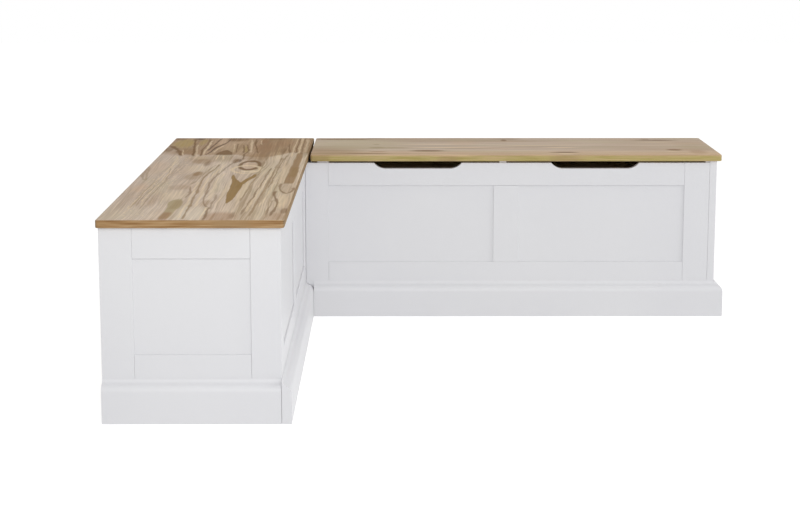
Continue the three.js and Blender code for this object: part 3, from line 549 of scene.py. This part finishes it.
class Board(Graph):
    """A lid's wood. Places on it are across the grain and along it, from one corner of the lid"""

    def __init__(self, name, node, along, knot=None):
        super().__init__(name)
        low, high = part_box(node)
        self.along_axis = along
        self.across_axis = 1 - along
        self.length = high[along] - low[along]
        self.breadth = high[self.across_axis] - low[self.across_axis]
        self.thickness = high.z - low.z
        local = self.axes(self.vector("SUBTRACT", self.position(), tuple(low)))
        self.across = local[self.across_axis]
        self.along = local[along]
        self.height = local[2]
        self.wander = self.wobble(*WANDER)
        self.shiver = self.wobble(*SHIVER)
        self.bent = self.total(self.across, self.shiver)
        self.press = self.scaled(self.noise(self.drawn_out(PRESS_SHARE), *PRESS_NOISE), *PRESS_RANGE)
        self.flow = self.parted(knot)

    def drawn_out(self, share):
        """A place on the board that keeps only a share of its way along the grain"""
        return self.combine(self.across, self.product(self.along, share), 0.0)

    def wobble(self, share, scale, reach):
        """A noise in metres, to either side of zero"""
        noise = self.noise(self.drawn_out(share), scale)
        return self.product(self.difference(noise, HALF), reach)

    def parted(self, knot):
        """The place across the grain, which wanders and flows round a knot"""
        flow = self.total(self.across, self.wander)
        if knot is None:
            return flow
        near = self.scaled(self.distance(*knot), 0.0, KNOT_REACH, 1.0, 0.0, smooth=True)
        aside = self.product(self.difference(self.across, knot[0]), near)
        return self.difference(flow, self.product(aside, KNOT_PUSH_SHARE))

    def streaks(self, number_across, number_along, detail=STREAK_DETAIL):
        """Streaks along the grain, from their number per metre across it and along it"""
        place = self.combine(
            self.product(self.flow, number_across), self.product(self.along, number_along),
            self.product(self.height, number_across / STREAK_DEPTH))
        return self.noise(place, detail=detail, roughness=STREAK_ROUGHNESS)

    def distance(self, across, along, half_across, half_along):
        """Distance from an oval's middle, which is 1 on its outline"""
        place = self.combine(self.bent, self.along, 0.0)
        offset = self.vector("SUBTRACT", place, (across, along, 0.0))
        return self.vector("LENGTH", self.vector("MULTIPLY", offset, (1 / half_across, 1 / half_along, 0.0)))

    def patch(self, colour, streak, row):
        *oval, tone, strength, softness = row
        inside = self.scaled(self.distance(*oval), 1 - softness, 1 + softness, strength, 0.0, smooth=True)
        return self.tint(self.math("MULTIPLY", inside, streak, clamp=True), colour, tone)

    def ring(self, colour, row):
        *oval, tone, strength, width = row
        off = self.math("ABSOLUTE", self.difference(self.distance(*oval), 1.0))
        share = self.scaled(off, width * RING_CORE_SHARE, width, strength, 0.0, smooth=True)
        return self.tint(share, colour, tone)

    def blush(self, colour):
        """Faint rosy and greenish clouds in the wax"""
        across, along = map(self.product, (self.flow, self.along), CLOUD_WAVES)
        cloud = self.noise(self.combine(across, along, 0.0))
        colour = self.tint(self.scaled(cloud, *CLOUD_ROSE_RANGE), colour, ROSE)
        return self.tint(self.scaled(cloud, *CLOUD_GREEN_RANGE), colour, GREEN)

    def grain(self, colour, late, fine, fine_ranges):
        """Darker late wood, and fine dark and pale streaks"""
        dark_range, pale_range = fine_ranges
        colour = self.tint(late, colour, LATE)
        colour = self.tint(self.scaled(fine, *dark_range), colour, FINE)
        return self.tint(self.scaled(fine, *pale_range), colour, CREAM)

    def fibres(self, colour, fine):
        """Fibres that run through every mark"""
        shade = self.scaled(fine, *FIBRE_RANGE)
        return self.mix(1.0, colour, self.combine(shade, shade, shade), "MULTIPLY")

    def course(self, value, extent, result, places):
        """A curve through the places, which are (value, result) pairs, each in metres up to its extent"""
        node = self.node("ShaderNodeFloatCurve", {"Value": self.math("DIVIDE", value, extent)})
        curve = node.mapping.curves[0]
        for _ in places[2:]:
            curve.points.new(HALF, HALF)
        for point, (start, end) in zip(curve.points, places):
            point.location = (start / extent, end / result)
        node.mapping.update()
        return self.product(node.outputs[0], result)

    def between(self, start, end):
        """1 between two places along the board, and 0 outside them"""
        begun = self.scaled(self.along, start - STROKE_FADE, start + STROKE_FADE, smooth=True)
        ended = self.scaled(self.along, end - STROKE_FADE, end + STROKE_FADE, 1.0, 0.0, smooth=True)
        return self.product(begun, ended)

    def stroke(self, colour, tone, strength, width, *places):
        """A line along the grain, now thin and now broad, whose course is a curve through the places"""
        path = self.course(self.along, self.length, self.breadth, places)
        off = self.product(self.math("ABSOLUTE", self.difference(self.bent, path)), self.press)
        line = self.scaled(off, width * STROKE_CORE_SHARE, width, strength, 0.0, smooth=True)
        return self.tint(self.product(line, self.between(places[0][0], places[-1][0])), colour, tone)

    def strip(self, colour, tone, strength, soft, *places):
        """A filled shape between two curves, whose places are (along, one edge, other edge)"""
        near, far = [
            self.course(self.along, self.length, self.breadth, [(place[0], place[edge]) for place in places])
            for edge in (1, 2)]
        past = self.scaled(self.difference(self.bent, near), -soft, soft, smooth=True)
        short = self.scaled(self.difference(far, self.bent), -soft, soft, 0.0, strength, smooth=True)
        share = self.product(self.product(past, short), self.between(places[0][0], places[-1][0]))
        return self.tint(share, colour, tone)

    def ends(self, colour, edge_tones, arris_share):
        """End grain and the long edges, whose streaks run level"""
        place = self.combine(*map(self.product, (self.across, self.along, self.height), END_WAVES))
        streak = self.noise(place, *END_NOISE)
        cloud = self.noise(self.position(), *END_CLOUD)
        arris = self.thickness - ARRIS_BAND
        kept = self.scaled(self.height, arris, self.thickness, 1.0, arris_share, smooth=True)
        for axis, tones in ((self.along_axis, END_TONES), (self.across_axis, edge_tones)):
            shade = self.ramp(streak, list(zip(END_RAMP_VALUES, tones)))
            shade = self.tint(self.scaled(cloud, *END_CLOUD_RANGE, smooth=True), shade, LATE)
            share = self.product(self.scaled(self.facing(axis), *FACING_RANGE), kept)
            colour = self.mix(share, colour, shade)
        return colour

    def waxed(self, colour, late, fine, late_bump):
        """The finished wood, with its late wood and fine streaks in faint relief"""
        normal = self.bump(late, *late_bump, self.bump(fine, *WOOD_FINE_BUMP))
        return self.finish(colour, WOOD_ROUGHNESS, normal, **{"Specular IOR Level": WOOD_SPECULAR})


def left_lid_base(board, broad):
    """Three families of tones from the wall side to the room side"""
    wall, middle, room = [
        board.ramp(broad, list(zip(WOOD_RAMP_VALUES, tones))) for tones in (WALL_SIDE, MIDDLE, ROOM_SIDE)]
    colour = board.mix(board.scaled(board.across, *WALL_TO_MIDDLE, smooth=True), wall, middle)
    return board.mix(board.scaled(board.across, *MIDDLE_TO_ROOM, smooth=True), colour, room)


def with_flecks(board, colour):
    """Short pale flecks near the wall"""
    near = board.product(board.scaled(board.across, *FLECK_START), board.scaled(board.across, *FLECK_END))
    fleck = board.scaled(board.streaks(*FLECK_STREAKS), *FLECK_RANGE)
    return board.tint(board.product(fleck, near), colour, CREAM)


def with_band(board, colour):
    """The darker, browner far end"""
    edge = board.course(board.across, board.breadth, board.length, BAND_EDGE)
    past = board.difference(board.total(board.along, board.product(board.shiver, BAND_SHIVER)), edge)
    band = board.scaled(past, -BAND_SOFTNESS, BAND_SOFTNESS, smooth=True)
    return board.mix(band, colour, BAND_TINT, "MULTIPLY")


def left_lid_material():
    """Waxed softwood whose grain runs from the camera to the far wall"""
    board = Board("left_lid_wood", "left_lid", 1, LEFT_KNOT)
    broad, fine, line = [board.streaks(*row) for row in LEFT_STREAKS]
    colour = board.blush(left_lid_base(board, broad))
    strength = board.scaled(board.across, *LEFT_LATE_STRENGTH, smooth=True)
    late = board.scaled(line, *LEFT_LATE_RANGE, smooth=True)
    colour = board.grain(colour, board.product(late, strength), fine, LEFT_FINE_RANGES)
    colour = with_band(board, with_flecks(board, colour))
    streak = board.scaled(line, *STREAKED_RANGE)
    for row in LEFT_PATCHES:
        colour = board.patch(colour, streak, row)
    for row in LEFT_STRIPS:
        colour = board.strip(colour, *row)
    for row in LEFT_RINGS:
        colour = board.ring(colour, row)
    for row in LEFT_STROKES:
        colour = board.stroke(colour, *row)
    colour = board.ends(board.fibres(colour, fine), LEFT_EDGE_TONES, LEFT_ARRIS_SHARE)
    return board.waxed(colour, late, fine, LEFT_LATE_BUMP)


def right_lid_material():
    """The same wood with a quieter grain, which runs along the back wall"""
    board = Board("right_lid_wood", "right_lid", 0)
    broad, fine, line = [board.streaks(*row) for row in RIGHT_STREAKS]
    colour = board.ramp(broad, list(zip(WOOD_RAMP_VALUES, RIGHT_TONES)))
    colour = board.tint(board.scaled(board.across, *RIGHT_WARM_RANGE, smooth=True), colour, RIGHT_WARM)
    colour = board.tint(board.scaled(board.across, *RIGHT_BACK_RANGE, smooth=True), colour, RIGHT_BACK)
    late = board.scaled(line, *RIGHT_LATE_RANGE, smooth=True)
    strong = board.product(late, RIGHT_LATE_STRENGTH)
    colour = board.grain(board.blush(colour), strong, fine, RIGHT_FINE_RANGES)
    streak = board.scaled(line, *STREAKED_RANGE)
    for row in RIGHT_PATCHES:
        colour = board.patch(colour, streak, row)
    colour = board.ends(board.fibres(colour, fine), RIGHT_EDGE_TONES, RIGHT_ARRIS_SHARE)
    return board.waxed(colour, late, fine, RIGHT_LATE_BUMP)


def grain_axis(node):
    """The axis along which a piece of wood is longest, which is the way its grain runs"""
    low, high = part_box(node)
    size = high - low
    return max(range(3), key=lambda axis: size[axis])


def finish_pieces():
    """Gives every CAD node its material, and returns the zinc"""
    paints = [paint_material(f"paint_{axis_name}", axis) for axis, axis_name in enumerate("xyz")]
    plywoods, pines = [
        [plain_wood_material(f"{name}_{axis_name}", axis, *look) for axis, axis_name in enumerate("xy")]
        for name, look in (("plywood", PLYWOOD_LOOK), ("bare_pine", BARE_PINE_LOOK))]
    zinc = zinc_material()
    lids = {"left_lid": left_lid_material(), "right_lid": right_lid_material()}
    for name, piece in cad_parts.items():
        if name in lids:
            material = lids[name]
        elif name in PLYWOOD:
            material = plywoods[grain_axis(name)]
        elif name in BARE_PINE:
            material = pines[grain_axis(name)]
        elif any(word in name for word in METAL_WORDS):
            material = zinc
        else:
            material = paints[grain_axis(name)]
        piece.data.materials.clear()
        piece.data.materials.append(material)
    return zinc


def loop_of(mesh, points, z):
    return [mesh.verts.new((x, y, z)) for x, y in points]


def pairs_round(ring):
    """Each item of a closed ring with the next one"""
    return [(item, ring[(i + 1) % len(ring)]) for i, item in enumerate(ring)]


def wall_between(mesh, low, high):
    for (low_start, low_end), (high_start, high_end) in zip(pairs_round(low), pairs_round(high)):
        mesh.faces.new((low_start, low_end, high_end, high_start))


def recess_outline():
    """The cross of a screw's recess, three corners in each quarter"""
    corners = ((RECESS_REACH, -RECESS_WIDTH), (RECESS_REACH, RECESS_WIDTH), (RECESS_WIDTH, RECESS_WIDTH))
    cross = []
    for quarter in range(4):
        cosine, sine = math.cos(quarter * math.pi / 2), math.sin(quarter * math.pi / 2)
        cross += [(cosine * x - sine * y, sine * x + cosine * y) for x, y in corners]
    return cross


def circle_of(radius):
    turn = 2 * math.pi / HEAD_SIDES
    return [(radius * math.cos(i * turn), radius * math.sin(i * turn)) for i in range(HEAD_SIDES)]


def screw_head():
    """One cross-recess screw head that looks up, its underside sunk into the leaf"""
    mesh = bmesh.new()
    foot = loop_of(mesh, circle_of(HEAD_RADIUS), -RECESS_DEPTH - HEAD_RISE)
    rim = loop_of(mesh, circle_of(HEAD_RADIUS), HEAD_RISE / 2)
    top = loop_of(mesh, circle_of(HEAD_RADIUS - HEAD_BEVEL), HEAD_RISE)
    mouth = loop_of(mesh, recess_outline(), HEAD_RISE)
    bottom = loop_of(mesh, recess_outline(), HEAD_RISE - RECESS_DEPTH)
    wall_between(mesh, foot, rim)
    wall_between(mesh, rim, top)
    wall_between(mesh, mouth[::-1], bottom[::-1])
    mesh.faces.new(foot[::-1])
    mesh.faces.new(bottom)
    pairs = pairs_round(top) + pairs_round(mouth)
    edges = [mesh.edges.get(pair) or mesh.edges.new(pair) for pair in pairs]
    bmesh.ops.triangle_fill(mesh, use_beauty=True, use_dissolve=False, edges=edges, normal=(0, 0, 1))
    bmesh.ops.recalc_face_normals(mesh, faces=mesh.faces)
    return mesh


def leaf_screws(leaf):
    """Places of a leaf's screws, and which way they look"""
    low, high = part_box(leaf)
    lid_leaf = "_lid_" in leaf
    z = high.z - LEAF_THICKNESS if lid_leaf else low.z + LEAF_THICKNESS
    run = 1 if leaf.startswith("left") else 0
    for share in SCREW_SHARES:
        place = Vector((0.0, 0.0, z))
        place[run] = low[run] + (high[run] - low[run]) * share
        place[1 - run] = high.x - SCREW_FROM_EDGE if run else low.y + SCREW_FROM_EDGE
        yield Matrix.Translation(place) @ Matrix.Rotation(math.pi if lid_leaf else 0.0, 4, "X")


def leaves_of(side, part):
    """The hinge leaves of one side, on its lid or on its rail"""
    return [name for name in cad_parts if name.startswith(side) and name.endswith(f"{part}_leaf")]


def screws_of(leaves, head):
    """The screw heads of some leaves as one mesh"""
    mesh = bmesh.new()
    for leaf in sorted(leaves):
        for matrix in leaf_screws(leaf):
            placed = head.copy()
            placed.transform(matrix)
            mesh.from_mesh(placed)
            bpy.data.meshes.remove(placed)
    return mesh


def add_screws(zinc):
    """One piece of screw heads for each lid and for each hinge rail"""
    head = bpy.data.meshes.new("screw_head")
    source = screw_head()
    source.to_mesh(head)
    source.free()
    for side in ("left", "right"):
        for part, body in (("lid", f"{side}_lid"), ("rail", "carcass")):
            mesh = screws_of(leaves_of(side, part), head)
            data = bpy.data.meshes.new(f"{side}_{part}_screws")
            mesh.to_mesh(data)
            mesh.free()
            data.materials.append(zinc)
            piece = bpy.data.objects.new(f"{side}_{part}_screws", data)
            bpy.context.scene.collection.objects.link(piece)
            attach(piece, body)
    bpy.data.meshes.remove(head)


def add_camera():
    data = bpy.data.cameras.new("camera")
    data.lens = CAMERA_LENS
    data.sensor_width = SENSOR_WIDTH
    data.clip_end = CAMERA_REACH
    camera = bpy.data.objects.new("camera", data)
    camera.location = CAMERA_PLACE
    camera.rotation_euler = (math.radians(RIGHT_ANGLE - CAMERA_PITCH), 0.0, math.radians(-CAMERA_YAW))
    bpy.context.scene.collection.objects.link(camera)
    bpy.context.scene.camera = camera


def seen_rays(tree):
    """1 for rays from the camera and for those that a mirror or glass sends on"""
    path = tree.nodes.new("ShaderNodeLightPath").outputs
    seen = path["Is Camera Ray"]
    for name in ("Is Glossy Ray", "Is Transmission Ray"):
        either = tree.nodes.new("ShaderNodeMath")
        either.operation = "MAXIMUM"
        tree.links.new(seen, either.inputs[0])
        tree.links.new(path[name], either.inputs[1])
        seen = either.outputs[0]
    return seen


def add_floor():
    """A pale floor that looks white and keeps the object's shadow"""
    bpy.ops.mesh.primitive_plane_add(size=FLOOR_SIZE, location=(0.0, 0.0, 0.0))
    floor = bpy.context.object
    floor.name = "studio_floor"
    graph = Graph("studio_floor")
    lit = graph.node("ShaderNodeBsdfDiffuse", {"Color": srgb(*FLOOR_TONE)})
    glow = graph.node("ShaderNodeEmission", {"Color": WHITE, "Strength": FLOOR_GLOW})
    shade = graph.node("ShaderNodeBsdfDiffuse", {"Color": FLOOR_SEEN})
    looks = graph.node("ShaderNodeAddShader", {0: glow.outputs[0], 1: shade.outputs[0]})
    mixed = graph.node("ShaderNodeMixShader", {
        "Fac": seen_rays(graph.tree), 1: lit.outputs[0], 2: looks.outputs[0]})
    graph.tree.links.new(mixed.outputs[0], graph.output.inputs["Surface"])
    floor.data.materials.append(graph.material)


def add_world():
    """White all round, dimmer as a light than it looks to the camera"""
    world = bpy.data.worlds.new("studio")
    bpy.context.scene.world = world
    world.use_nodes = True
    tree = world.node_tree
    background = tree.nodes["Background"]
    strength = tree.nodes.new("ShaderNodeMapRange")
    tree.links.new(seen_rays(tree), strength.inputs["Value"])
    strength.inputs["To Min"].default_value = WORLD_STRENGTH
    strength.inputs["To Max"].default_value = SEEN_STRENGTH
    tree.links.new(strength.outputs[0], background.inputs["Strength"])
    background.inputs["Color"].default_value = WHITE


def add_lamp(name, place, target, size, power):
    data = bpy.data.lights.new(name, "AREA")
    data.shape = "RECTANGLE"
    data.size, data.size_y = size
    data.energy = power
    lamp = bpy.data.objects.new(name, data)
    direction = Vector(target) - Vector(place)
    turned = direction.to_track_quat("-Z", "Y").to_matrix().to_4x4()
    lamp.matrix_world = Matrix.Translation(place) @ turned
    lamp.visible_camera = False
    bpy.context.scene.collection.objects.link(lamp)


add_screws(finish_pieces())
add_floor()
add_world()
for lamp_row in LAMPS:
    add_lamp(*lamp_row)
add_camera()
bpy.context.scene.view_settings.view_transform = "Standard"
